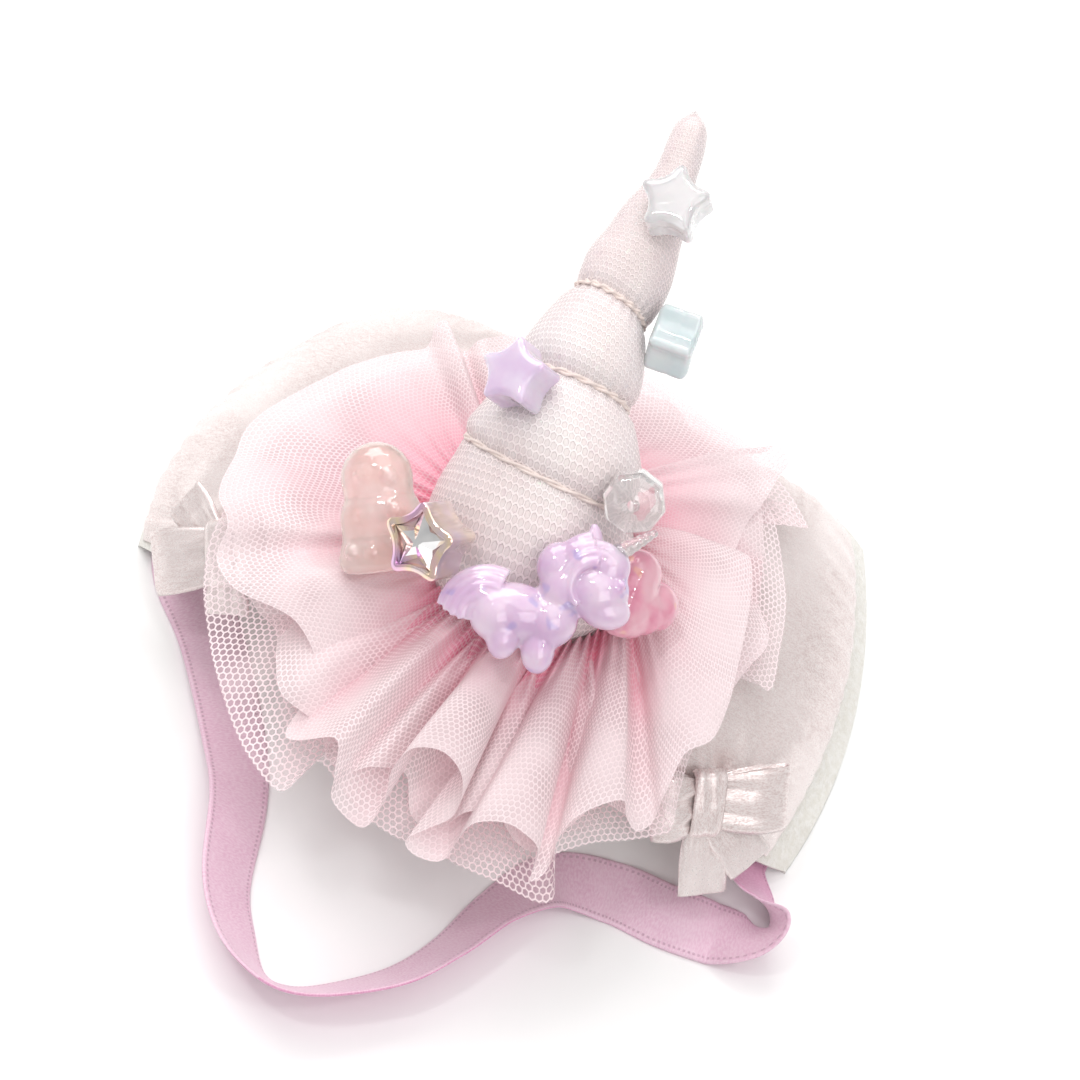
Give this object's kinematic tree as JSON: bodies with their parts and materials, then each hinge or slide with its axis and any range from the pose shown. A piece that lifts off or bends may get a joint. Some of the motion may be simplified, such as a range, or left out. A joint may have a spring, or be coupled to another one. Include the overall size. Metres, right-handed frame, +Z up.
{
  "type": "unicorn horn headband",
  "caption": "Padded satin pet headpiece with a stuffed unicorn horn, gathered tulle ruffle, sewn-on beads, satin bows and a ribbon chin strap.",
  "frame": {"origin": "middle of the footprint, on the surface that the piece rests on", "axes": "+Z up, -Y to the front where the chin strap lies, +X towards the wearer's left"},
  "size_m": [0.1296, 0.1289, 0.0885],
  "materials": {
    "pearl_satin": "sheeny twill satin over padding",
    "cream_felt": "matt felt",
    "white_net": "glittering white net over stuffing",
    "cream_thread": "wound thread",
    "pink_tulle": "gathered see-through net",
    "mauve_velvet": "velvet ribbon with stitched edges",
    "pearl_resin": "milky clear",
    "blue_resin": "pale blue clear",
    "lilac_resin": "milky lilac",
    "clear_resin": "clear, cut",
    "peach_resin": "clear peach with pearl sheen",
    "rose_plating": "plated, iridescent",
    "cut_crystal": "silvered cut stone",
    "orchid_resin": "translucent lilac",
    "rose_pearl": "pearl pink over orange"
  },
  "bodies": {
    "root": {"base_pad": "pearl_satin", "felt_backing": "cream_felt", "horn": "white_net", "horn_thread_1": "cream_thread", "horn_thread_2": "cream_thread", "horn_thread_3": "cream_thread", "ruffle_lower": "pink_tulle", "ruffle_upper": "pink_tulle", "chin_strap": "mauve_velvet", "white_star_bead": "pearl_resin", "blue_star_bead": "blue_resin", "lilac_star_bead": "lilac_resin", "clear_rondelle_bead": "clear_resin", "peach_bubble_bead": "peach_resin", "star_setting": "rose_plating", "star_crystal": "cut_crystal", "unicorn_charm": "orchid_resin", "rose_heart_bead": "rose_pearl", "right_bow": "pearl_satin", "right_bow_knot": "pearl_satin", "left_bow": "pearl_satin", "left_bow_knot": "pearl_satin"}
  },
  "joints": []
}
